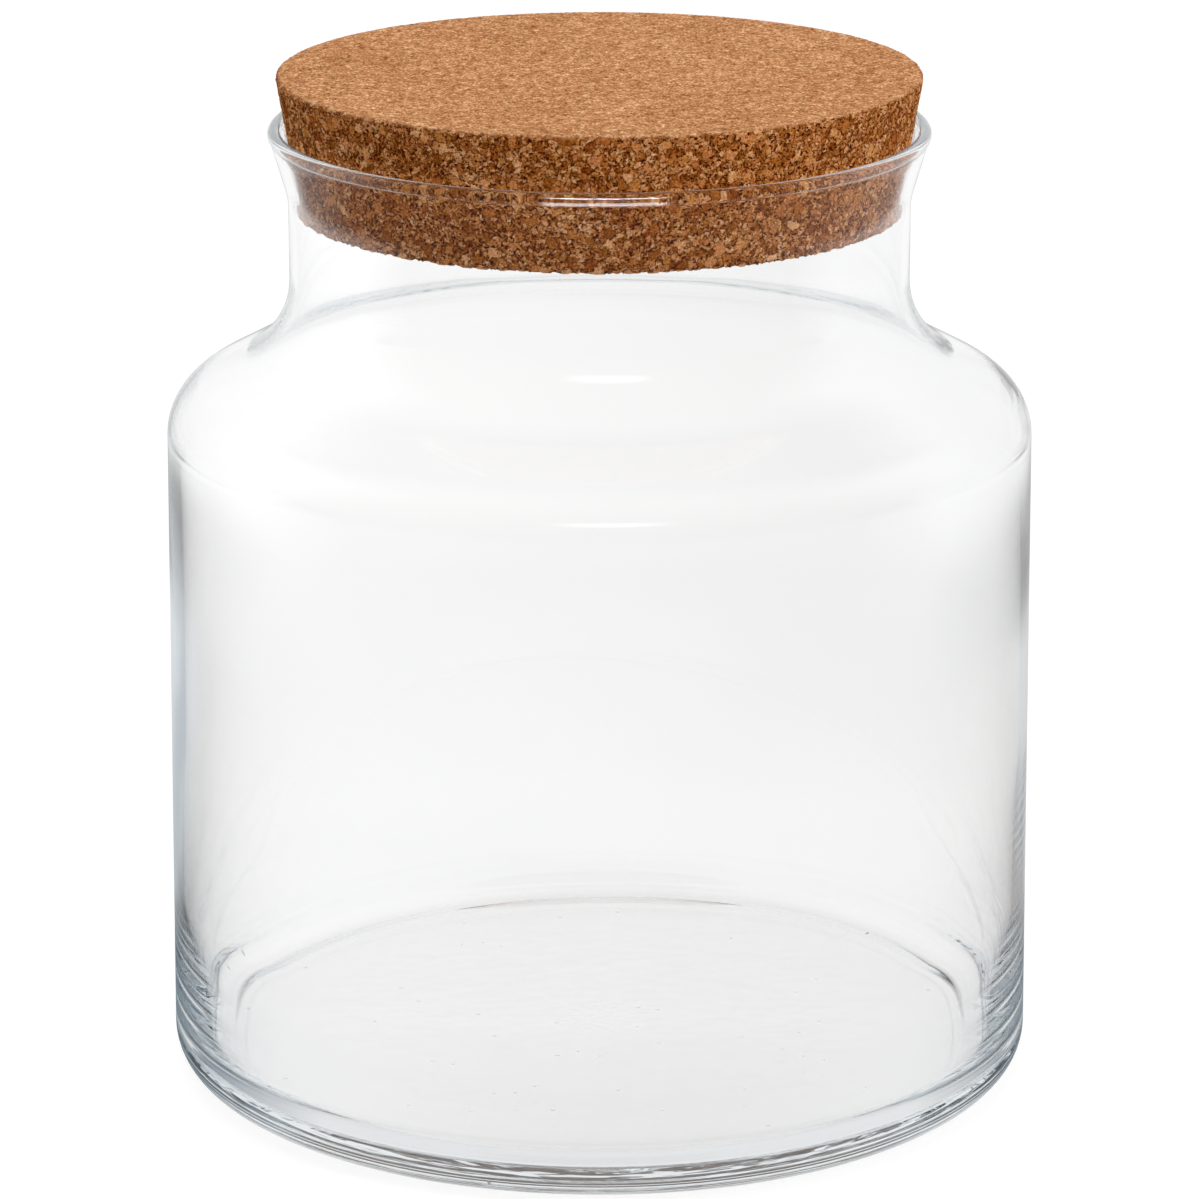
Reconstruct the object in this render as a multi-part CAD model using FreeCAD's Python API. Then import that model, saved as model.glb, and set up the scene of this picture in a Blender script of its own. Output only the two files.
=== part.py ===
import FreeCAD, Part
import math
import os

os.makedirs("parts", exist_ok=True)

V = FreeCAD.Vector

# A round glass storage jar and the tapered cork lid that plugs its mouth.
# Millimetres, Z up. The jar stands on Z = 0 and its axis is the Z axis.

# Outside of the jar
BODY_DIAMETER = 180.0        # wall just under the shoulder
FOOT_SPREAD = 1.25           # the wall leans out this much on the radius, down to the foot
JAR_HEIGHT = 202.0           # table to the crest of the lip
NECK_DIAMETER = 128.4        # straight part of the neck
NECK_LENGTH = 28.6           # from the end of the shoulder to the start of the flare
SHOULDER_RISE = 13.9         # height that the sloping shoulder gains
LIP_OVERHANG = 4.05          # the lip stands out this much beyond the neck
FLARE_ANGLE = 16.2           # lean of the mouth away from the axis, degrees
HEEL_RADIUS = 8.2            # round edge between the foot and the wall
SHOULDER_RADIUS = 12.0       # outward round at the top of the wall
NECK_ROOT_RADIUS = 19.4      # inward round where the shoulder turns up into the neck
FLARE_RADIUS = 15.0          # soft bend where the neck starts to flare
FOOT_RING_WIDTH = 10.0       # flat ring that the jar stands on
PUNT_RISE = 0.8              # hollow under the middle of the base

# Glass thickness
BODY_WALL = 2.4
SHOULDER_WALL = 2.1
NECK_WALL = 1.7
FLARE_WALL = 1.8             # the flared mouth under the bead
LIP_THICKNESS = 2.8          # the mouth ends in a round bead of this width
LIP_PROUD = 0.25             # the bead stands out this much from the outside of the flare
LIP_FILLET = 0.8             # hollow round between the bead and the flare, on both sides
BASE_THICKNESS = 5.0         # floor above the foot ring
FLOOR_RISE = 1.2             # the floor bulges up this much in the middle
HEEL_THICKENING = 2.4        # extra glass in the wall where it meets the floor
HEEL_HEIGHT = 34.0           # height at which the wall has thinned to BODY_WALL
INNER_HEEL_RADIUS = 10.0     # round between the floor and the inside of the wall
INNER_BLEND_RADIUS = 150.0   # slow bend where the wall starts to thicken

# Cork lid
LID_HEIGHT = 28.4            # bottom to top
LID_INSERTION = 17.4         # how far it reaches below the crest of the lip
LID_EDGE_RADIUS = 0.7        # worn edges
SEAT_CLEARANCE = 0.2         # between cork and neck where the plug seats, on the radius
RIM_GAP = 1.0                # between cork and bead, on the radius

body_r = BODY_DIAMETER / 2
foot_r = body_r + FOOT_SPREAD
neck_r = NECK_DIAMETER / 2
flare = math.radians(FLARE_ANGLE)


def line_through(a, b):
    """The point a and the unit direction from a to b, both as (radius, height)."""
    length = math.hypot(b[0] - a[0], b[1] - a[1])
    return a, ((b[0] - a[0]) / length, (b[1] - a[1]) / length)


def moved_left(line, distance):
    """The same line moved to the left of its direction."""
    (r, z), (u, w) = line
    return (r - w * distance, z + u * distance), (u, w)


def crossing(one, other):
    """Where two lines meet."""
    (r1, z1), (u1, w1) = one
    (r2, z2), (u2, w2) = other
    det = u1 * w2 - w1 * u2
    t = ((r2 - r1) * w2 - (z2 - z1) * u2) / det
    return r1 + u1 * t, z1 + w1 * t


def at(point):
    """A point of the profile in the XZ plane."""
    return V(point[0], 0, point[1])


def rounded(corners):
    """Edges along corners of (radius, height, round). A round gives way where its runs are short."""
    count = len(corners)
    runs = [math.dist(corners[i][:2], corners[i + 1][:2]) for i in range(count - 1)]
    turns = [0.0] * count
    reach = [0.0] * count
    for i in range(1, count - 1):
        a, b, c = corners[i - 1], corners[i], corners[i + 1]
        into = math.atan2(b[1] - a[1], b[0] - a[0])
        out = math.atan2(c[1] - b[1], c[0] - b[0])
        turns[i] = (out - into + math.pi) % (2 * math.pi) - math.pi
        reach[i] = b[2] * math.tan(abs(turns[i]) / 2)
    share = [1.0] * count
    for i, run in enumerate(runs):
        wanted = reach[i] + reach[i + 1]
        if wanted > 0.96 * run:
            share[i] = min(share[i], 0.96 * run / wanted)
            share[i + 1] = min(share[i + 1], 0.96 * run / wanted)
    edges = []
    here = at(corners[0])
    for i in range(1, count):
        corner = at(corners[i])
        cut = reach[i] * share[i]
        if cut < 1e-6:
            edges.append(Part.LineSegment(here, corner).toShape())
            here = corner
            continue
        back = (at(corners[i - 1]) - corner).normalize()
        ahead = (at(corners[i + 1]) - corner).normalize()
        start = corner + back * cut
        end = corner + ahead * cut
        radius = cut / math.tan(abs(turns[i]) / 2)
        to_centre = (back + ahead).normalize()
        middle = corner + to_centre * (radius / math.cos(turns[i] / 2) - radius)
        edges.append(Part.LineSegment(here, start).toShape())
        edges.append(Part.Arc(start, middle, end).toShape())
        here = end
    return edges


def dome(edge, top):
    """A shallow arc from a point of the profile to the axis, level where it meets the axis."""
    radius = (edge[0] ** 2 + (top - edge[1]) ** 2) / (2 * (top - edge[1]))
    half = math.asin(edge[0] / radius) / 2
    middle = (radius * math.sin(half), top - radius * (1 - math.cos(half)))
    return Part.Arc(at(edge), at(middle), V(0, 0, top)).toShape()


def turned(edges):
    """The solid swept by a closed profile turned about the Z axis."""
    wire = Part.Wire(Part.sortEdges(edges)[0])
    return Part.Face(wire).revolve(V(0, 0, 0), V(0, 0, 1), 360)


# Lip: a round bead closes the flared mouth
bead = LIP_THICKNESS / 2
bead_r = neck_r + LIP_OVERHANG - bead
bead_z = JAR_HEIGHT - bead
flare_way = (math.sin(flare), math.cos(flare))


def beside_bead(up, out):
    """A point beside the bead's centre: up along the flare, and out to the outside of the jar."""
    return bead_r + flare_way[0] * up + flare_way[1] * out, bead_z + flare_way[1] * up - flare_way[0] * out


def lip_fillet(wall, side):
    """Where a fillet starts on the flare, its middle, and where it ends on the bead.

    The flare runs at the distance wall from the bead's centre, outside it for a side of 1, inside for -1.
    """
    wall = min(wall, 0.98 * bead)
    reach = bead + LIP_FILLET
    lift = wall + LIP_FILLET
    drop = math.sqrt(reach ** 2 - lift ** 2)
    half = math.atan2(drop, lift) / 2
    start = beside_bead(-drop, side * wall)
    middle = beside_bead(-drop + LIP_FILLET * math.sin(half), side * (lift - LIP_FILLET * math.cos(half)))
    end = beside_bead(-drop * bead / reach, side * lift * bead / reach)
    return start, middle, end


wall_out = bead - LIP_PROUD
flare_out, fillet_out, bead_out = lip_fillet(wall_out, 1)
flare_in, fillet_in, bead_in = lip_fillet(FLARE_WALL - wall_out, -1)
lip_crest = beside_bead(bead, 0)

# Corners of the outside, from the foot up
flare_z = flare_out[1] - (flare_out[0] - neck_r) / math.tan(flare)
root_z = flare_z - NECK_LENGTH
shoulder_z = root_z - SHOULDER_RISE
ring_r = foot_r - HEEL_RADIUS - FOOT_RING_WIDTH
outside = [
    (ring_r, 0.0, 0.0),
    (foot_r, 0.0, HEEL_RADIUS),
    (body_r, shoulder_z, SHOULDER_RADIUS),
    (neck_r, root_z, NECK_ROOT_RADIUS),
    (neck_r, flare_z, FLARE_RADIUS),
    (flare_out[0], flare_out[1], 0.0),
]

# Corners of the inside, from the lip down: the outside lines moved in by the glass thickness
wall_in = moved_left(line_through((foot_r, 0.0), (body_r, shoulder_z)), BODY_WALL)
slope_in = moved_left(line_through((body_r, shoulder_z), (neck_r, root_z)), SHOULDER_WALL)
mouth_r = neck_r - NECK_WALL
neck_in = ((mouth_r, 0.0), (0.0, 1.0))
seat = crossing(neck_in, (flare_in, flare_way))
root_in = crossing(neck_in, slope_in)
shoulder_in = crossing(wall_in, slope_in)
heel_top = crossing(wall_in, ((0.0, HEEL_HEIGHT), (1.0, 0.0)))
heel_foot = crossing(wall_in, ((0.0, BASE_THICKNESS), (1.0, 0.0)))
corner_r = heel_foot[0] - HEEL_THICKENING
floor_r = corner_r - INNER_HEEL_RADIUS
inside = [
    (flare_in[0], flare_in[1], 0.0),
    (seat[0], seat[1], FLARE_RADIUS + NECK_WALL),
    (root_in[0], root_in[1], NECK_ROOT_RADIUS + SHOULDER_WALL),
    (shoulder_in[0], shoulder_in[1], max(SHOULDER_RADIUS - SHOULDER_WALL, 1.0)),
    (heel_top[0], heel_top[1], INNER_BLEND_RADIUS),
    (corner_r, BASE_THICKNESS, INNER_HEEL_RADIUS),
    (floor_r, BASE_THICKNESS, 0.0),
]

glass_edges = rounded(outside)
glass_edges.append(Part.Arc(at(flare_out), at(fillet_out), at(bead_out)).toShape())
glass_edges.append(Part.Arc(at(bead_out), at(lip_crest), at(bead_in)).toShape())
glass_edges.append(Part.Arc(at(bead_in), at(fillet_in), at(flare_in)).toShape())
glass_edges += rounded(inside)
floor_top = BASE_THICKNESS + FLOOR_RISE
glass_edges.append(dome((floor_r, BASE_THICKNESS), floor_top))
glass_edges.append(Part.LineSegment(V(0, 0, floor_top), V(0, 0, PUNT_RISE)).toShape())
glass_edges.append(dome((ring_r, 0.0), PUNT_RISE))
glass_jar = turned(glass_edges)
glass_jar.exportStep("parts/glass_jar.step")

# Lid: its taper keeps SEAT_CLEARANCE where the neck starts to flare and RIM_GAP at the lip
lid_bottom_z = JAR_HEIGHT - LID_INSERTION
lid_top_z = lid_bottom_z + LID_HEIGHT
seat_r = mouth_r - SEAT_CLEARANCE
lip_level_r = bead_r - bead - RIM_GAP
taper = (lip_level_r - seat_r) / (bead_z - seat[1])
lid_bottom_r = seat_r + taper * (lid_bottom_z - seat[1])
lid_top_r = seat_r + taper * (lid_top_z - seat[1])
lid_edges = rounded([
    (0.0, lid_bottom_z, 0.0),
    (lid_bottom_r, lid_bottom_z, LID_EDGE_RADIUS),
    (lid_top_r, lid_top_z, LID_EDGE_RADIUS),
    (0.0, lid_top_z, 0.0),
])
lid_edges.append(Part.LineSegment(V(0, 0, lid_top_z), V(0, 0, lid_bottom_z)).toShape())
cork_lid = turned(lid_edges)
cork_lid.exportStep("parts/cork_lid.step")
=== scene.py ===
import math

import bpy
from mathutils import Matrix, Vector


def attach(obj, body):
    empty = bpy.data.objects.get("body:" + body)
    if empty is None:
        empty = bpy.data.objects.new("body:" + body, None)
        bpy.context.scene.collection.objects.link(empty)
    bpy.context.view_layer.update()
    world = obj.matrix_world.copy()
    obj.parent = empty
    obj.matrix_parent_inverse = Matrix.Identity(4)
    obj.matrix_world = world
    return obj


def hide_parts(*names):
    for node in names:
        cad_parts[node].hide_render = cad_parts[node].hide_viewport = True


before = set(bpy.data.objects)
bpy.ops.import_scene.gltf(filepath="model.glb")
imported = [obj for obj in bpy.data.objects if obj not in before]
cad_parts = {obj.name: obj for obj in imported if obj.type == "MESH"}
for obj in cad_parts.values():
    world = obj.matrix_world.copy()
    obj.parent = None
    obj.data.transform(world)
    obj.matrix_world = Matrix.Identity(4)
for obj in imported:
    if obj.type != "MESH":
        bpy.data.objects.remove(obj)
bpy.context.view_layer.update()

MM = 0.001
TAU = 2 * math.pi
WHITE = (1.0, 1.0, 1.0, 1.0)
BLACK = (0.0, 0.0, 0.0, 1.0)

# Jar, in millimetres, as the solids have it
BODY_R = 90.0
FOOT_R = 91.25
JAR_HEIGHT = 202.0
NECK_R = 64.2
NECK_LENGTH = 28.6
SHOULDER_RISE = 13.9
LIP_OVERHANG = 4.05
FLARE = math.radians(16.2)
HEEL_RADIUS = 8.2
SHOULDER_RADIUS = 12.0
NECK_ROOT_RADIUS = 19.4
FLARE_RADIUS = 15.0
FOOT_RING_WIDTH = 10.0
PUNT_RISE = 0.8
BODY_WALL = 2.4
SHOULDER_WALL = 2.1
NECK_WALL = 1.7
LIP_THICKNESS = 2.8
LIP_PROUD = 0.25
LIP_FILLET = 0.8
FLARE_WALL = 1.8
BASE_THICKNESS = 5.0
FLOOR_RISE = 1.2
HEEL_THICKENING = 2.4
HEEL_HEIGHT = 34.0
INNER_HEEL_RADIUS = 10.0
INNER_BLEND_RADIUS = 150.0

# Lid, in millimetres
LID_TOP_Z = 213.0
LID_BOTTOM_Z = 184.6
LID_TOP_R = 66.56
LID_BOTTOM_R = 61.73
LID_EDGE_RADIUS = 0.7

# Fineness of the turned meshes: points along the profile in millimetres, and steps of a full turn
GLASS_PITCH = 2.0
GLASS_ARC_PITCH = 0.9
GLASS_STEPS = 256
FILLET_POINTS = 6
BEAD_POINTS = 28
FLOOR_POINTS = 20
PUNT_POINTS = 30
LID_PITCH = 0.45
LID_ARC_PITCH = 0.3
LID_STEPS = 840
UNDERSIDE_RINGS = (0, 20, 36, 46, 53)
UNDERSIDE_EDGE_R = 58.0
TOP_EDGE_R = 62.0
TOP_RINGS = (58, 50, 36, 18, 0)
MERGE_DISTANCE = 0.004 * MM


# profile helpers: points as (radius, height) in millimetres

def line_through(a, b):
    """The point a and the unit direction from a to b."""
    length = math.dist(a, b)
    return a, ((b[0] - a[0]) / length, (b[1] - a[1]) / length)


def moved_left(line, distance):
    """The same line moved to the left of its direction."""
    (r, z), (u, w) = line
    return (r - w * distance, z + u * distance), (u, w)


def crossing(one, other):
    """Where two lines meet."""
    (r1, z1), (u1, w1) = one
    (r2, z2), (u2, w2) = other
    det = u1 * w2 - w1 * u2
    t = ((r2 - r1) * w2 - (z2 - z1) * u2) / det
    return r1 + u1 * t, z1 + w1 * t


def level_line(height):
    """The line at a height, away from the axis."""
    return (0.0, height), (1.0, 0.0)


def straight(a, b, pitch):
    """Points from a to b, without a."""
    count = max(1, round(math.dist(a, b) / pitch))
    return [
        (a[0] + (b[0] - a[0]) * i / count, a[1] + (b[1] - a[1]) * i / count)
        for i in range(1, count + 1)
    ]


def rounded(corners, pitch, arc_pitch):
    """Points along corners of (radius, height, round), with each round drawn as an arc."""
    here = corners[0][:2]
    points = [here]
    for i in range(1, len(corners)):
        corner = corners[i][:2]
        if i == len(corners) - 1 or corners[i][2] <= 0:
            points += straight(here, corner, pitch)
            here = corner
            continue
        _, back = line_through(corner, corners[i - 1][:2])
        _, ahead = line_through(corner, corners[i + 1][:2])
        turn = math.pi - math.acos(max(-1.0, min(1.0, back[0] * ahead[0] + back[1] * ahead[1])))
        radius = corners[i][2]
        cut = radius * math.tan(turn / 2)
        start = (corner[0] + back[0] * cut, corner[1] + back[1] * cut)
        points += straight(here, start, pitch)
        middle = (back[0] + ahead[0], back[1] + ahead[1])
        size = math.hypot(*middle)
        reach = radius / math.cos(turn / 2)
        centre = (corner[0] + middle[0] / size * reach, corner[1] + middle[1] / size * reach)
        first = math.atan2(start[1] - centre[1], start[0] - centre[0])
        side = back[0] * ahead[1] - back[1] * ahead[0]
        sweep = turn if side < 0 else -turn
        count = max(4, round(radius * turn / arc_pitch))
        for k in range(1, count + 1):
            angle = first + sweep * k / count
            points.append((centre[0] + radius * math.cos(angle), centre[1] + radius * math.sin(angle)))
        here = points[-1]
    return points


def dome(edge, top, count):
    """Points of a shallow arc from an edge point to the axis, without the edge point."""
    radius = (edge[0] ** 2 + (top - edge[1]) ** 2) / (2 * (top - edge[1]))
    whole = math.asin(edge[0] / radius)
    angles = [whole * (1 - i / count) for i in range(1, count + 1)]
    return [(radius * math.sin(angle), top - radius * (1 - math.cos(angle))) for angle in angles]


# node helpers

class Graph:
    """Builds nodes in a tree: numbers and colours go on sockets, sockets are linked."""

    def __init__(self, tree):
        self.tree = tree

    def node(self, kind, inputs=None, **settings):
        made = self.tree.nodes.new(kind)
        for key, value in settings.items():
            setattr(made, key, value)
        for key, value in (inputs or {}).items():
            socket = made.inputs[key]
            if isinstance(value, bpy.types.NodeSocket):
                self.tree.links.new(value, socket)
            else:
                socket.default_value = value
        return made

    def math(self, operation, a, b=0.0):
        return self.node("ShaderNodeMath", {0: a, 1: b}, operation=operation).outputs[0]

    def product(self, first, *others):
        """The numbers multiplied."""
        for other in others:
            first = self.math("MULTIPLY", first, other)
        return first

    def total(self, first, *others):
        """The numbers added up."""
        for other in others:
            first = self.math("ADD", first, other)
        return first

    def above(self, value, limit):
        """1 past the limit, else 0."""
        return self.math("GREATER_THAN", value, limit)

    def below(self, value, limit):
        """1 under the limit, else 0."""
        return self.math("LESS_THAN", value, limit)

    def more_than(self, depth, count):
        """1 for rays that were turned more than count times, else 0."""
        return self.math("GREATER_THAN", depth, count + 0.5)

    def at_most(self, depth, count):
        """1 for rays that were turned count times or less, else 0."""
        return self.math("LESS_THAN", depth, count + 0.5)

    def away(self, value, middle):
        """How far the value is from the middle."""
        return self.math("ABSOLUTE", self.math("SUBTRACT", value, middle))

    def swing(self, value, amount):
        """A value between 0 and 1 as a swing about 0, times the amount."""
        return self.math("MULTIPLY", self.math("SUBTRACT", value, 0.5), amount)

    def span(self, value, low, high, to_low=0.0, to_high=1.0, smooth=False):
        kind = "SMOOTHSTEP" if smooth else "LINEAR"
        inputs = {"Value": value, "From Min": low, "From Max": high, "To Min": to_low, "To Max": to_high}
        return self.node("ShaderNodeMapRange", inputs, interpolation_type=kind, clamp=True).outputs[0]

    def fade(self, value, low, high, smooth=False):
        """1 up to the low end, 0 past the high end."""
        return self.span(value, low, high, 1.0, 0.0, smooth)

    def band(self, value, start, full, last, end, smooth=False):
        """Rises from start to full, falls from last to end."""
        return self.product(self.span(value, start, full, smooth=smooth), self.fade(value, last, end, smooth))

    def mix(self, factor, a, b):
        """A colour between a and b."""
        return self.node("ShaderNodeMix", {0: factor, 6: a, 7: b}, data_type="RGBA").outputs[2]

    def blend(self, factor, a, b):
        """A number between a and b."""
        return self.node("ShaderNodeMix", {0: factor, 2: a, 3: b}, data_type="FLOAT").outputs[0]

    def ramp(self, factor, stops):
        made = self.node("ShaderNodeValToRGB", {0: factor})
        colours = made.color_ramp
        while len(colours.elements) < len(stops):
            colours.elements.new(0.5)
        for element, (place, colour) in zip(colours.elements, stops):
            element.position = place
            element.color = (*colour, 1)
        return made.outputs[0]

    def grey(self, level):
        return self.node("ShaderNodeCombineColor", {0: level, 1: level, 2: level}).outputs[0]

    def noise(self, place, scale, detail, roughness):
        inputs = {"Vector": place, "Scale": scale, "Detail": detail, "Roughness": roughness}
        return self.node("ShaderNodeTexNoise", inputs).outputs

    def cells(self, place, scale, feature="F1"):
        return self.node("ShaderNodeTexVoronoi", {"Vector": place, "Scale": scale}, feature=feature).outputs

    def bump(self, height, strength, distance, **below):
        """A surface relief, over the relief given as Normal."""
        inputs = {"Height": height, "Strength": strength, "Distance": distance, **below}
        return self.node("ShaderNodeBump", inputs).outputs[0]

    def part(self, vector, which):
        return self.node("ShaderNodeSeparateXYZ", {0: vector}).outputs[which]

    def vector(self, operation, *vectors):
        return self.node("ShaderNodeVectorMath", dict(enumerate(vectors)), operation=operation).outputs

    def scaled(self, vector, amount):
        inputs = {0: vector, "Scale": amount}
        return self.node("ShaderNodeVectorMath", inputs, operation="SCALE").outputs[0]

    def level(self, place):
        """The place moved to height 0."""
        return self.vector("MULTIPLY", place, (1.0, 1.0, 0.0))[0]

    def from_axis(self, place):
        """Distance from the Z axis."""
        return self.vector("LENGTH", self.level(place))["Value"]

    def azimuth(self, across, ahead):
        """Angle about the Z axis, 0 to the front and more to the right."""
        return self.math("ARCTAN2", across, self.math("MULTIPLY", ahead, -1.0))


def new_material(name):
    material = bpy.data.materials.new(name)
    material.use_nodes = True
    material.node_tree.nodes.clear()
    return material, Graph(material.node_tree)


# modelling helpers

def turned(name, profile, steps):
    """A closed piece: one vertex is extruded along the profile, and the line is turned about Z."""
    bpy.ops.object.select_all(action="DESELECT")
    bpy.ops.mesh.primitive_plane_add(size=MM, location=(0, 0, 0))
    piece = bpy.context.active_object
    piece.name = name
    piece.data.name = name
    bpy.ops.object.mode_set(mode="EDIT")
    bpy.ops.mesh.select_all(action="SELECT")
    bpy.ops.mesh.merge(type="CENTER")
    here = Vector((profile[0][0], 0, profile[0][1])) * MM
    bpy.ops.transform.translate(value=here)
    for r, z in profile[1:]:
        there = Vector((r, 0, z)) * MM
        bpy.ops.mesh.extrude_region_move(TRANSFORM_OT_translate={"value": there - here})
        here = there
    bpy.ops.object.mode_set(mode="OBJECT")
    turn = piece.modifiers.new("turn", "SCREW")
    turn.axis = "Z"
    turn.angle = TAU
    turn.steps = steps
    turn.render_steps = steps
    turn.use_merge_vertices = True
    turn.merge_threshold = MERGE_DISTANCE
    bpy.ops.object.modifier_apply(modifier=turn.name)
    bpy.ops.object.mode_set(mode="EDIT")
    bpy.ops.mesh.select_all(action="SELECT")
    bpy.ops.mesh.remove_doubles(threshold=MERGE_DISTANCE)
    bpy.ops.mesh.normals_make_consistent(inside=False)
    bpy.ops.object.mode_set(mode="OBJECT")
    bpy.ops.object.shade_smooth()
    return piece


def reshaped(piece, name, offset):
    """Moves the vertices of a piece: offset gives the shift for a place and its normal."""
    tree = bpy.data.node_groups.new(name, "GeometryNodeTree")
    for way in ("INPUT", "OUTPUT"):
        tree.interface.new_socket("Geometry", in_out=way, socket_type="NodeSocketGeometry")
    g = Graph(tree)
    place = g.node("GeometryNodeInputPosition").outputs[0]
    normal = g.node("GeometryNodeInputNormal").outputs[0]
    move = g.node("GeometryNodeSetPosition", {
        "Geometry": g.node("NodeGroupInput").outputs[0],
        "Offset": offset(g, place, normal),
    })
    g.node("NodeGroupOutput", {0: move.outputs[0]})
    shape = piece.modifiers.new(name, "NODES")
    shape.node_group = tree
    bpy.ops.object.select_all(action="DESELECT")
    piece.select_set(True)
    bpy.context.view_layer.objects.active = piece
    bpy.ops.object.modifier_apply(modifier=shape.name)


# glass jar: the lip is a bead with a fillet to the flare on both sides

bead = LIP_THICKNESS / 2
rim_r = NECK_R + LIP_OVERHANG
bead_r = rim_r - bead
bead_z = JAR_HEIGHT - bead
flare_way = (math.sin(FLARE), math.cos(FLARE))
flare_side = (math.cos(FLARE), -math.sin(FLARE))


def on_flare(along, aside):
    """A point beside the bead's centre: along the flare upward, and aside to the outside of the jar."""
    return (bead_r + flare_way[0] * along + flare_side[0] * aside,
            bead_z + flare_way[1] * along + flare_side[1] * aside)


def fillet(drop, lift, meet, side):
    """Points from the flare to the bead, on the outside for a side of 1, inside for -1."""
    points = []
    for i in range(1, FILLET_POINTS + 1):
        angle = -math.pi / 2 + (meet - math.pi / 2) * i / FILLET_POINTS
        along = -drop + LIP_FILLET * math.cos(angle)
        points.append(on_flare(along, side * (lift + LIP_FILLET * math.sin(angle))))
    return points


fillet_reach = bead + LIP_FILLET
wall_out = bead - LIP_PROUD
wall_back = FLARE_WALL - wall_out
lift_out = wall_out + LIP_FILLET
lift_in = wall_back + LIP_FILLET
drop_out = math.sqrt(fillet_reach ** 2 - lift_out ** 2)
drop_in = math.sqrt(fillet_reach ** 2 - lift_in ** 2)
meet_out = math.atan2(lift_out, -drop_out)
meet_in = math.atan2(lift_in, -drop_in)
flare_out = on_flare(-drop_out, wall_out)
flare_in = on_flare(-drop_in, -wall_back)
lip = fillet(drop_out, lift_out, meet_out, 1)
for i in range(1, BEAD_POINTS):
    angle = meet_out - (meet_out + meet_in) * i / BEAD_POINTS
    lip.append(on_flare(bead * math.cos(angle), bead * math.sin(angle)))
lip += reversed(fillet(drop_in, lift_in, meet_in, -1))

flare_z = flare_out[1] - (flare_out[0] - NECK_R) / math.tan(FLARE)
root_z = flare_z - NECK_LENGTH
shoulder_z = root_z - SHOULDER_RISE
ring_r = FOOT_R - HEEL_RADIUS - FOOT_RING_WIDTH
outside = rounded([
    (ring_r, 0.0, 0.0),
    (FOOT_R, 0.0, HEEL_RADIUS),
    (BODY_R, shoulder_z, SHOULDER_RADIUS),
    (NECK_R, root_z, NECK_ROOT_RADIUS),
    (NECK_R, flare_z, FLARE_RADIUS),
    (*flare_out, 0.0),
], GLASS_PITCH, GLASS_ARC_PITCH)

wall_in = moved_left(line_through((FOOT_R, 0), (BODY_R, shoulder_z)), BODY_WALL)
slope_in = moved_left(line_through((BODY_R, shoulder_z), (NECK_R, root_z)), SHOULDER_WALL)
neck_in = ((NECK_R - NECK_WALL, 0.0), (0.0, 1.0))
seat = crossing(neck_in, (flare_in, flare_way))
root_in = crossing(neck_in, slope_in)
shoulder_in = crossing(wall_in, slope_in)
heel_top = crossing(wall_in, level_line(HEEL_HEIGHT))
heel_foot = crossing(wall_in, level_line(BASE_THICKNESS))
corner_r = heel_foot[0] - HEEL_THICKENING
floor_r = corner_r - INNER_HEEL_RADIUS
inside = rounded([
    (*flare_in, 0.0),
    (*seat, FLARE_RADIUS + NECK_WALL),
    (*root_in, NECK_ROOT_RADIUS + SHOULDER_WALL),
    (*shoulder_in, SHOULDER_RADIUS - SHOULDER_WALL),
    (*heel_top, INNER_BLEND_RADIUS),
    (corner_r, BASE_THICKNESS, INNER_HEEL_RADIUS),
    (floor_r, BASE_THICKNESS, 0.0),
], GLASS_PITCH, GLASS_ARC_PITCH)

jar_floor = dome((floor_r, BASE_THICKNESS), BASE_THICKNESS + FLOOR_RISE, FLOOR_POINTS)
punt = []
for i in range(PUNT_POINTS, 0, -1):
    inward = i / PUNT_POINTS
    punt.append((ring_r * (1 - inward), PUNT_RISE * (0.5 - 0.5 * math.cos(math.pi * inward))))
glass = turned("glass_body", punt + outside + lip + inside + jar_floor, GLASS_STEPS)

# Blown glass is uneven: the inside of the wall leans to one side and swells here and there
UNEVEN_HEIGHTS = (30 * MM, 75 * MM, 80 * MM, 140 * MM)
INSIDE_FACING = -0.8
WALL_LEAN = 0.4 * MM
WALL_SWELL = 0.15 * MM
SWELL_NOISE = (26.0, 1.0, 0.5)


def uneven_wall(g, place, normal):
    """Shift of the glass: none but on the inside of the wall."""
    outward = g.vector("NORMALIZE", g.level(place))[0]
    facing = g.vector("DOT_PRODUCT", normal, outward)["Value"]
    on_wall = g.band(g.part(place, 2), *UNEVEN_HEIGHTS, smooth=True)
    on_inside = g.below(facing, INSIDE_FACING)
    lean = g.product(g.part(outward, 0), WALL_LEAN)
    swell = g.swing(g.noise(place, *SWELL_NOISE)[0], WALL_SWELL)
    return g.scaled(outward, g.product(on_wall, on_inside, g.total(lean, swell)))


reshaped(glass, "uneven_wall", uneven_wall)

# Relief of the glass: slow waves all over, and seeds, a swirl in the middle and ripples on the floor.
# Each noise has a scale, a detail and a roughness.
WAVE_NOISE = (38.0, 1.0, 0.4)
WAVE_STRENGTH = 0.05
WAVE_DEPTH = 0.6 * MM
FLOOR_HEIGHTS = (3.0 * MM, 4.0 * MM, 6.8 * MM, 7.5 * MM)
SEED_SCALE = 230.0
SEED_SIZE = (0.05, 0.13)
SEED_PICK = 0.80
SWIRL_NOISE = (420.0, 2.0, 0.6)
SWIRL_RADII = (3 * MM, 16 * MM)
SWIRL_SHARE = 1.1
PIT_DEPTH = 0.14 * MM
RIPPLE_NOISE = (70.0, 2.0, 0.5)
RIPPLE_RADII = (55 * MM, 72 * MM)
RIPPLE_DEPTH = 0.25 * MM
GLASS_IOR = 1.517
GLASS_TINT = (0.15, 0.45, 0.62, 1.0)
GLASS_TINT_DENSITY = 0.8

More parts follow.
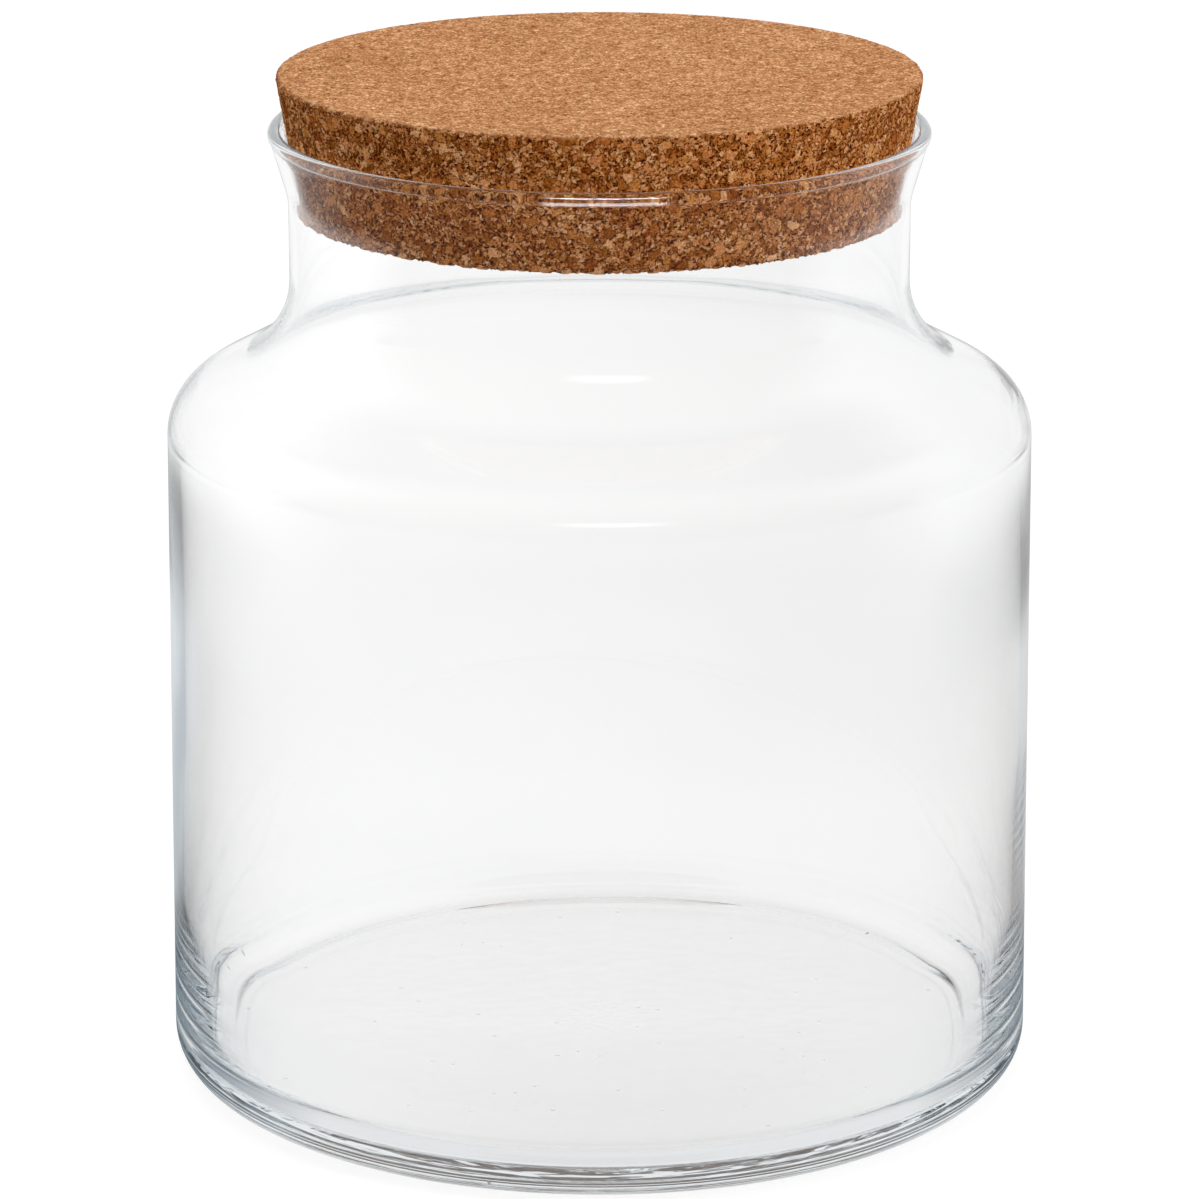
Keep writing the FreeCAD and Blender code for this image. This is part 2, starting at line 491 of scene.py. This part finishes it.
glass_material, g = new_material("clear_soda_glass")
coords = g.node("ShaderNodeTexCoord").outputs["Object"]
level_coords = g.level(coords)
from_axis = g.from_axis(coords)
on_floor = g.band(g.part(coords, 2), *FLOOR_HEIGHTS)
wave = g.noise(coords, *WAVE_NOISE)[0]
cell = g.cells(level_coords, SEED_SCALE)
seed = g.fade(cell["Distance"], *SEED_SIZE, smooth=True)
seed = g.product(seed, g.above(g.part(cell["Color"], 0), SEED_PICK))
swirl = g.product(g.noise(level_coords, *SWIRL_NOISE)[0], g.fade(from_axis, *SWIRL_RADII))
pits = g.product(g.total(seed, g.product(swirl, SWIRL_SHARE)), on_floor)
ripple = g.product(g.noise(level_coords, *RIPPLE_NOISE)[0], g.fade(from_axis, *RIPPLE_RADII, smooth=True))
ripple = g.product(ripple, on_floor)
surface = g.bump(wave, WAVE_STRENGTH, WAVE_DEPTH)
surface = g.bump(pits, 1.0, PIT_DEPTH, Normal=surface)
surface = g.bump(ripple, 1.0, RIPPLE_DEPTH, Normal=surface)
glass_shader = g.node("ShaderNodeBsdfPrincipled", {
    "Base Color": WHITE,
    "Roughness": 0.0,
    "IOR": GLASS_IOR,
    "Transmission Weight": 1.0,
    "Normal": surface,
})
tint = g.node("ShaderNodeVolumeAbsorption", {"Color": GLASS_TINT, "Density": GLASS_TINT_DENSITY})
g.node("ShaderNodeOutputMaterial", {"Surface": glass_shader.outputs[0], "Volume": tint.outputs[0]})
glass.data.materials.append(glass_material)
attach(glass, "jar")
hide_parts("glass_jar")


# cork lid

# Granules: large ones among small ones, with ragged outlines
WARP_NOISE = (1100.0, 2.0, 0.6)
WARP = 1.6 * MM
GRANULE_SCALES = (500.0, 1050.0)
LARGE_PICK = 0.80
RAGGED_NOISE = (1600.0, 2.0, 0.65)
LARGE_EDGE = 1.8
LARGE_RAGGED = 0.9
SMALL_RAGGED = 1.3
CREVICE_EDGE = (-0.04, 0.12)


def cork_grain(g, place):
    """At a point of the cork: how whole it is (0 in a crevice), its granule's tone and its granule's hue."""
    warp = g.vector("ADD", g.noise(place, *WARP_NOISE)["Color"], (-0.5, -0.5, -0.5))[0]
    place = g.vector("ADD", place, g.scaled(warp, WARP))[0]
    tones, hues, picks, edges = [], [], [], []
    for scale in GRANULE_SCALES:
        shade = g.cells(place, scale)["Color"]
        tones.append(g.part(shade, 0))
        picks.append(g.part(shade, 1))
        hues.append(g.part(shade, 2))
        edges.append(g.cells(place, scale, "DISTANCE_TO_EDGE")["Distance"])
    large = g.above(picks[0], LARGE_PICK)
    tone = g.blend(large, tones[1], tones[0])
    hue = g.blend(large, hues[1], hues[0])
    rough = g.noise(place, *RAGGED_NOISE)[0]
    coarse = g.total(g.product(edges[0], LARGE_EDGE), g.swing(rough, LARGE_RAGGED))
    small = g.total(edges[1], g.swing(rough, SMALL_RAGGED))
    whole = g.span(g.blend(large, small, coarse), *CREVICE_EDGE, smooth=True)
    return whole, tone, hue


lid_profile = [(r, LID_BOTTOM_Z) for r in UNDERSIDE_RINGS]
lid_profile += rounded([
    (UNDERSIDE_EDGE_R, LID_BOTTOM_Z, 0.0),
    (LID_BOTTOM_R, LID_BOTTOM_Z, LID_EDGE_RADIUS),
    (LID_TOP_R, LID_TOP_Z, LID_EDGE_RADIUS),
    (TOP_EDGE_R, LID_TOP_Z, 0.0),
], LID_PITCH, LID_ARC_PITCH)
lid_profile += [(r, LID_TOP_Z) for r in TOP_RINGS]
cork = turned("cork_plug", lid_profile, LID_STEPS)

# Carving of the cork: deep at the worn edges, less on the side, shallow on the faces
WHOLE_HEIGHT = 0.7
TONE_HEIGHT = 0.5
SIDE_DEPTH = 0.42 * MM
FACE_DEPTH = 0.10 * MM
SIDE_TO_FACE = (0.3, 0.9)
EDGE_DEPTH = 1.1 * MM
EDGE_SLOPES = (0.25, 0.45, 0.75, 0.95)
LOW_RIM_DEPTH = 0.9 * MM
LOW_RIM_RADII = ((LID_BOTTOM_R - 2.4) * MM, (LID_BOTTOM_R - 0.8) * MM)
LOW_RIM_HEIGHTS = ((LID_BOTTOM_Z + 0.2) * MM, (LID_BOTTOM_Z + 0.8) * MM)


def cork_relief(g, place, normal):
    """Shift of the cork: granules stay proud, crevices sink in."""
    whole, tone, _ = cork_grain(g, place)
    height = g.total(g.product(whole, WHOLE_HEIGHT), g.product(tone, TONE_HEIGHT))
    slope = g.math("ABSOLUTE", g.part(normal, 2))
    near_rim = g.span(g.from_axis(place), *LOW_RIM_RADII)
    low_rim = g.product(near_rim, g.fade(g.part(place, 2), *LOW_RIM_HEIGHTS))
    depth = g.total(
        g.span(slope, *SIDE_TO_FACE, SIDE_DEPTH, FACE_DEPTH),
        g.product(g.band(slope, *EDGE_SLOPES), EDGE_DEPTH),
        g.product(low_rim, LOW_RIM_DEPTH),
    )
    sink = g.math("SUBTRACT", height, WHOLE_HEIGHT + TONE_HEIGHT)
    return g.scaled(normal, g.product(sink, depth))


reshaped(cork, "cork_relief", cork_relief)

# Colours of the cork: reddish and ochre granules on the side, a finer, lighter cut on the faces, and
# near-black crevices, partly the cork's own dark gaps and partly painted shade
TONE_RANGE = (0.13, 0.81)
GRAIN_NOISE = (2300.0, 2.0, 0.6)
GRAIN_SPREAD = (0.2, 0.8)
GRAIN_SHARE = 1.3
PATCH_NOISE = (90.0, 2.0, 0.5)
PATCH_SHARE = 0.3
RED_CHIP = [
    (0.0, (0.19, 0.030, 0.0)),
    (0.40, (0.54, 0.160, 0.036)),
    (0.75, (0.82, 0.355, 0.145)),
    (1.0, (1.0, 0.640, 0.390)),
]
OCHRE_CHIP = [
    (0.0, (0.18, 0.036, 0.0)),
    (0.40, (0.52, 0.178, 0.028)),
    (0.75, (0.81, 0.365, 0.125)),
    (1.0, (1.0, 0.650, 0.350)),
]
CREVICE = (0.085, 0.008, 0.0, 1.0)
FACE_STRETCH = (1.0, 0.62, 1.0)
FINE_NOISE = (2200.0, 2.0, 0.6)
FLECK_NOISE = (820.0, 3.0, 0.65)
BROAD_NOISE = (60.0, 2.0, 0.5)
FACE_SHARES = (0.08, 0.54, 0.32, 0.06)
FACE_COLOURS = [
    (0.36, (0.19, 0.062, 0.016)),
    (0.45, (0.43, 0.180, 0.070)),
    (0.53, (0.58, 0.275, 0.118)),
    (0.64, (0.92, 0.560, 0.320)),
]
FACE_EDGE_RAGGED = 0.5 * MM
TOP_EDGE = ((LID_TOP_Z - 0.65) * MM, (LID_TOP_Z - 0.35) * MM)
UNDER_EDGE = ((LID_BOTTOM_Z + 0.08) * MM, (LID_BOTTOM_Z + 0.24) * MM)
GRAIN_HEIGHT = 0.4
SIDE_BUMP = 0.8
FACE_BUMP = 0.3
BUMP_DEPTH = 0.4 * MM
CORK_ROUGHNESS = (0.72, 0.95)
CORK_SPECULAR = 0.02

cork_material, g = new_material("granulated_cork")
coords = g.node("ShaderNodeTexCoord").outputs["Object"]
whole, tone, hue = cork_grain(g, coords)
grain = g.noise(coords, *GRAIN_NOISE)[0]
patch = g.noise(coords, *PATCH_NOISE)[0]
shade = g.total(g.span(tone, 0.0, 1.0, *TONE_RANGE), g.swing(grain, GRAIN_SHARE), g.swing(patch, PATCH_SHARE))
side_chip = g.mix(hue, g.ramp(shade, RED_CHIP), g.ramp(shade, OCHRE_CHIP))
# The crevice colour is partly the gaps' own dark and partly painted shade in the recesses
side_colour = g.mix(g.math("SUBTRACT", 1.0, whole), side_chip, CREVICE)
face_place = g.vector("MULTIPLY", coords, FACE_STRETCH)[0]
fine = g.noise(face_place, *FINE_NOISE)[0]
fleck = g.noise(face_place, *FLECK_NOISE)[0]
broad = g.noise(face_place, *BROAD_NOISE)[0]
layers = zip((tone, fine, fleck, broad), FACE_SHARES)
face_tone = g.total(*(g.product(layer, share) for layer, share in layers))
face_colour = g.ramp(face_tone, FACE_COLOURS)
ragged_height = g.total(g.part(coords, 2), g.swing(fleck, FACE_EDGE_RAGGED))
on_face = g.math("MAXIMUM", g.span(ragged_height, *TOP_EDGE), g.fade(ragged_height, *UNDER_EDGE))
bump_height = g.total(g.product(whole, WHOLE_HEIGHT), g.product(grain, GRAIN_HEIGHT))
cork_shader = g.node("ShaderNodeBsdfPrincipled", {
    "Base Color": g.mix(on_face, side_colour, face_colour),
    "Roughness": g.span(grain, *GRAIN_SPREAD, *CORK_ROUGHNESS),
    "Specular IOR Level": CORK_SPECULAR,
    "Normal": g.bump(bump_height, g.blend(on_face, SIDE_BUMP, FACE_BUMP), BUMP_DEPTH),
})
g.node("ShaderNodeOutputMaterial", {"Surface": cork_shader.outputs[0]})
cork.data.materials.append(cork_material)
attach(cork, "lid")
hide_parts("cork_lid")


# studio: the paper floor and the room show plain white to the camera, and painted shades, painted
# reflections, painted cards and painted highlights to rays that the glass bends or mirrors

def by_ray(g, path, straight_on, through_glass, mirrored):
    """A colour for rays that show the background: seen directly, through glass or in a reflection."""
    shown = g.mix(g.more_than(path["Glossy Depth"], 0), through_glass, mirrored)
    seen_in_glass = g.math("MAXIMUM", path["Is Transmission Ray"], path["Is Glossy Ray"])
    shown = g.mix(seen_in_glass, BLACK, shown)
    return g.mix(path["Is Camera Ray"], shown, straight_on)


# Painted reflections and shades that the glass shows around the jar, from the back by the left, the front and
# the right to the back again
PALE = (0.95, 0.95, 0.95)
SOFT_WHITE = (0.92, 0.92, 0.92)
MIST = (0.80, 0.82, 0.84)
SLATE = (0.15, 0.20, 0.24)
STEEL = (0.22, 0.26, 0.29)
LEFT_GREY = (0.48, 0.52, 0.55)
RIGHT_GREY = (0.62, 0.63, 0.64)
NEAR_BACK = (0.80, 0.81, 0.82)
NEAR_FRONT = (0.76, 0.77, 0.78)
DEEP_FRONT = (0.82, 0.83, 0.84)
ROOM_GAP = (0.88, 0.89, 0.90)
ROOM_LEFT = (0.15, 0.19, 0.22)
ROOM_RIGHT = (0.08, 0.14, 0.18)
FAR_FLOOR = [
    (0.0, PALE),
    (0.05, PALE),
    (0.09, LEFT_GREY),
    (0.14, LEFT_GREY),
    (0.18, (0.08, 0.075, 0.07)),
    (0.50, (0.03, 0.022, 0.015)),
    (0.62, (0.05, 0.04, 0.03)),
    (0.72, (0.24, 0.21, 0.19)),
    (0.84, (0.42, 0.40, 0.39)),
    (0.88, RIGHT_GREY),
    (0.935, RIGHT_GREY),
    (0.96, PALE),
]
NEAR_FLOOR = [
    (0.0, NEAR_BACK),
    (0.06, SLATE),
    (0.30, SLATE),
    (0.38, NEAR_FRONT),
    (0.64, NEAR_FRONT),
    (0.72, STEEL),
    (0.92, STEEL),
    (1.0, NEAR_BACK),
]
DEEP_FLOOR = [
    (0.0, SOFT_WHITE),
    (0.05, MIST),
    (0.12, SLATE),
    (0.32, SLATE),
    (0.40, DEEP_FRONT),
    (0.60, DEEP_FRONT),
    (0.70, STEEL),
    (0.88, STEEL),
    (0.95, MIST),
    (1.0, SOFT_WHITE),
]
PAINTED_ROOM_CARDS = [
    (0.0, SOFT_WHITE),
    (0.11, ROOM_GAP),
    (0.15, ROOM_LEFT),
    (0.36, ROOM_LEFT),
    (0.44, ROOM_GAP),
    (0.57, ROOM_GAP),
    (0.65, ROOM_RIGHT),
    (0.85, ROOM_RIGHT),
    (0.89, ROOM_GAP),
    (1.0, SOFT_WHITE),
]

# Floor, in metres from the jar's axis
FLOOR_SIZE = 8.0
FLOOR_GAP = 0.0002
ROUND_VERTICES = 96
NEAR_TO_FAR = (0.11, 0.15)
OUTER_RADII = (0.40, 0.58)
OUTER_AHEAD = (-0.25, 0.05)
SIDE_RING_RADII = (0.36, 0.41, 0.48, 0.54)
SIDE_RING_AHEAD = (-0.05, 0.05)
SIDE_RING_GREY = (0.26, 0.26, 0.26, 1.0)
OUTLINE_ASIDE = (0.0, 0.11, 0.11, 0.26)
OUTLINE_AHEAD = (0.30, 0.50)
OUTLINE_GREY = (0.48, 0.48, 0.48, 1.0)
DEEP_RADII = (0.20, 0.30)
BEYOND_SHARE = 0.75
BEYOND_GREY = (0.86, 0.86, 0.86, 1.0)
ACROSS_SHADE = (-0.10, 0.10, 0.935, 0.835)
AHEAD_SHADES = [
    (0.05, 0.25, -0.02, -0.078),
    (0.36, 0.45, 0.0, 0.05),
    (0.50, 0.62, 0.0, -0.01),
    (-0.09, 0.0, -0.19, 0.0),
]
NEAR_SIDES_ASIDE = (0.02, 0.09, 0.0, 0.03)
NEAR_SIDES_AHEAD = (0.15, 0.30)
PAPER_WHITE = (0.88, 0.88, 0.88, 1.0)
PAPER_ONTO_CORK = (1.2, 1.2, 1.2, 1.0)
PAPER_PLAIN = (0.2, 0.2, 0.2, 1.0)
PAPER_MIRRORED = (0.05, 0.05, 0.05, 1.0)
PAPER_BOUNCE = (0.6, 0.6, 0.6, 1.0)

bpy.ops.object.select_all(action="DESELECT")
bpy.ops.mesh.primitive_circle_add(
    vertices=ROUND_VERTICES, radius=FLOOR_SIZE, fill_type="NGON", location=(0, 0, -FLOOR_GAP))
studio_floor = bpy.context.active_object
studio_floor.name = "studio_floor"
floor_material, g = new_material("white_paper")
place = g.node("ShaderNodeTexCoord").outputs["Object"]
path = g.node("ShaderNodeLightPath").outputs
across = g.part(place, 0)
ahead = g.part(place, 1)
aside = g.math("ABSOLUTE", across)
far = g.from_axis(place)
around = g.span(g.azimuth(across, ahead), -math.pi, math.pi)
# What the glass mirrors of the floor is painted reflection: dark and grey zones around the jar, a grey side
# ring, grey outline patches and paler zones for long paths
mirrored = g.mix(g.span(far, *NEAR_TO_FAR), g.ramp(around, NEAR_FLOOR), g.ramp(around, FAR_FLOOR))
outer = g.product(g.span(far, *OUTER_RADII), g.span(ahead, *OUTER_AHEAD))
mirrored = g.mix(outer, mirrored, (*SOFT_WHITE, 1.0))
side_ring = g.product(g.band(far, *SIDE_RING_RADII), g.span(ahead, *SIDE_RING_AHEAD))
mirrored = g.mix(side_ring, mirrored, SIDE_RING_GREY)
outline = g.band(aside, *OUTLINE_ASIDE, smooth=True)
outline = g.product(outline, g.span(ahead, *OUTLINE_AHEAD, smooth=True))
mirrored = g.mix(outline, mirrored, OUTLINE_GREY)
guided = g.product(g.more_than(path["Glossy Depth"], 2), g.fade(far, *DEEP_RADII))
mirrored = g.mix(guided, mirrored, g.ramp(around, DEEP_FLOOR))
beyond = g.more_than(path["Transmission Depth"], 3)
mirrored = g.mix(g.product(beyond, BEYOND_SHARE), mirrored, BEYOND_GREY)
# What the glass bends of the floor is painted shade: levels that fall across, step ahead and darken at the
# near sides
near_sides = g.product(g.span(aside, *NEAR_SIDES_ASIDE), g.fade(ahead, *NEAR_SIDES_AHEAD))
shades = [g.span(ahead, *shade) for shade in AHEAD_SHADES]
through = g.grey(g.total(g.span(across, *ACROSS_SHADE), near_sides, *shades))
# Diffuse bounces that pass the glass meet a floor glowing at 1.2: painted light standing for the lamps'
# light, which the glass stops
through = g.mix(g.more_than(path["Diffuse Depth"], 0), through, PAPER_ONTO_CORK)
# The paper's shade differs by ray: darker in reflections, a painted reflection, and lighter for the light it
# bounces
paper_colour = g.mix(g.more_than(path["Glossy Depth"], 0), PAPER_PLAIN, PAPER_MIRRORED)
paper_colour = g.mix(path["Is Diffuse Ray"], paper_colour, PAPER_BOUNCE)
paper = g.node("ShaderNodeBsdfDiffuse", {"Color": paper_colour})
shown = by_ray(g, path, PAPER_WHITE, through, mirrored)
glow = g.node("ShaderNodeEmission", {"Color": shown, "Strength": 1.0})
both = g.node("ShaderNodeAddShader", {0: paper.outputs[0], 1: glow.outputs[0]})
g.node("ShaderNodeOutputMaterial", {"Surface": both.outputs[0]})
studio_floor.data.materials.append(floor_material)

# A bright card above the jar, which only the lip mirrors: a painted highlight, shown only in the lip's first
# reflection within a set ray length
CARD_R = 0.30
CARD_Z = 0.35
CARD_HEIGHT = 0.06
CARD_TURN = 0.03
CARD_HALF_WIDTH = (0.20, 0.40)
CARD_STRENGTH = 42.0
LIP_REACH = 0.007

bpy.ops.object.select_all(action="DESELECT")
bpy.ops.mesh.primitive_cylinder_add(
    vertices=ROUND_VERTICES,
    radius=CARD_R,
    depth=CARD_HEIGHT,
    end_fill_type="NOTHING",
    location=(0, 0, CARD_Z),
)
lip_card = bpy.context.active_object
lip_card.name = "lip_card"
card_material, g = new_material("bright_card")
place = g.node("ShaderNodeTexCoord").outputs["Object"]
path = g.node("ShaderNodeLightPath").outputs
turn_to = g.azimuth(g.part(place, 0), g.part(place, 1))
in_front = g.fade(g.away(turn_to, CARD_TURN), *CARD_HALF_WIDTH, smooth=True)
rise = g.total(g.part(place, 2), CARD_Z - bead_z * MM)
lip_distance = g.math("SQRT", g.total(g.product(rise, rise), (CARD_R - rim_r * MM) ** 2))
from_lip = g.below(path["Ray Length"], g.total(lip_distance, LIP_REACH))
once = g.product(g.more_than(path["Glossy Depth"], 0), g.at_most(path["Glossy Depth"], 1))
shallow = g.product(g.at_most(path["Transmission Depth"], 2), g.at_most(path["Diffuse Depth"], 0))
glow = g.node("ShaderNodeEmission", {"Color": WHITE, "Strength": CARD_STRENGTH})
clear = g.node("ShaderNodeBsdfTransparent")
card = g.node("ShaderNodeMixShader", {
    0: g.product(in_front, from_lip, once, shallow),
    1: clear.outputs[0],
    2: glow.outputs[0],
})
g.node("ShaderNodeOutputMaterial", {"Surface": card.outputs[0]})
lip_card.data.materials.append(card_material)
lip_card.visible_camera = False
lip_card.visible_diffuse = False
lip_card.visible_shadow = False

# Room around the jar, by direction: across to the right, ahead to the back, and up
SKY_UP = (0.15, 0.7, 1.1, 0.6)
LAMP_ACROSS = (-0.6, 0.8, 0.22, 2.0)
LAMP_UP = (0.3, 0.9, 0.0, 0.8)
CAMERA_SIDE = (-0.5, 0.3)
CAMERA_SIDE_BROWN = (0.16, 0.12, 0.08, 1.0)
CEILING_UP = (0.55, 0.85, 0.92, 0.16)
CARDS_UP = (0.30, 0.45)
WINDOW_TURN = 0.06
WINDOW_HALF_WIDTH = (0.04, 0.36)
WINDOW_UP = 0.34
WINDOW_HALF_HEIGHT = (0.02, 0.06)
WINDOW_HIGHLIGHT = (2.5, 2.5, 2.5, 1.0)
ROOM_BOUNCE = (0.50, 0.50, 0.50, 1.0)

world = bpy.data.worlds.new("studio")
bpy.context.scene.world = world
world.use_nodes = True
world.node_tree.nodes.clear()
g = Graph(world.node_tree)
direction = g.node("ShaderNodeTexCoord").outputs["Generated"]
path = g.node("ShaderNodeLightPath").outputs
across, ahead, up = (g.part(direction, i) for i in range(3))
turn_to = g.azimuth(across, ahead)
# Rays that pass the glass see a painted sky, darker overhead, as painted shade in the glass; after a diffuse
# bounce they see painted light on the lamps' side, standing for the lamps' light that the glass stops
onto_cork = g.more_than(path["Diffuse Depth"], 0)
lamp_side = g.total(g.span(across, *LAMP_ACROSS), g.span(up, *LAMP_UP))
through = g.grey(g.blend(onto_cork, g.span(up, *SKY_UP, smooth=True), lamp_side))
# What the glass mirrors of the room is painted reflection: a darker ceiling, a brown camera side, painted
# cards for long paths and white past the glass
ceiling = g.grey(g.span(up, *CEILING_UP, smooth=True))
room = g.mix(g.fade(ahead, *CAMERA_SIDE, smooth=True), ceiling, CAMERA_SIDE_BROWN)
guided = g.product(g.more_than(path["Glossy Depth"], 3), g.fade(up, *CARDS_UP))
room = g.mix(guided, room, g.ramp(g.span(turn_to, -math.pi, math.pi), PAINTED_ROOM_CARDS))
room = g.mix(g.more_than(path["Transmission Depth"], 3), room, (*SOFT_WHITE, 1.0))
# A painted window highlight: a bright patch seen only in first reflections, which lights nothing
window_highlight = g.product(
    g.fade(g.away(turn_to, WINDOW_TURN), *WINDOW_HALF_WIDTH, smooth=True),
    g.fade(g.away(up, WINDOW_UP), *WINDOW_HALF_HEIGHT),
    g.math("SUBTRACT", 1.0, onto_cork),
    g.at_most(path["Glossy Depth"], 1),
    g.at_most(path["Transmission Depth"], 2),
)
mirrored = g.mix(window_highlight, room, WINDOW_HIGHLIGHT)
shown = g.mix(path["Is Diffuse Ray"], by_ray(g, path, WHITE, through, mirrored), ROOM_BOUNCE)
sky = g.node("ShaderNodeBackground", {"Color": shown, "Strength": 1.0})
g.node("ShaderNodeOutputWorld", {"Surface": sky.outputs[0]})

# Lamps: name, place and size in metres, and power in watts
LAMP_AIM = Vector((0, 0, 0.11))
LAMPS = [
    ("overhead", (-0.1, 0.1, 1.7), (1.3, 1.3), 11.0),
    ("right_front", (1.3, -0.9, 1.1), (0.7, 1.0), 11.0),
]
CAMERA_PLACE = Vector((0, -1.09106, 0.42701))
CAMERA_AIM = Vector((0, 0, 0.09976))
CAMERA_LENS = 162.03
CAMERA_SENSOR = 36.0
BOUNCES = 96


def aimed(holder, place, target):
    """Puts a lamp or camera in its place and turns it to its target."""
    bpy.context.collection.objects.link(holder)
    holder.location = place
    holder.rotation_euler = (target - Vector(place)).to_track_quat("-Z", "Y").to_euler()


for name, place, size, power in LAMPS:
    lamp = bpy.data.lights.new(name, "AREA")
    lamp.shape = "RECTANGLE"
    lamp.size, lamp.size_y = size
    lamp.energy = power
    softbox = bpy.data.objects.new(name, lamp)
    aimed(softbox, place, LAMP_AIM)
    softbox.visible_glossy = False
    softbox.visible_transmission = False

camera_data = bpy.data.cameras.new("camera")
camera_data.lens = CAMERA_LENS
camera_data.sensor_width = CAMERA_SENSOR
camera = bpy.data.objects.new("camera", camera_data)
aimed(camera, CAMERA_PLACE, CAMERA_AIM)
scene = bpy.context.scene
scene.camera = camera
scene.cycles.max_bounces = BOUNCES
scene.cycles.transmission_bounces = BOUNCES
scene.cycles.glossy_bounces = BOUNCES
scene.view_settings.view_transform = "Standard"
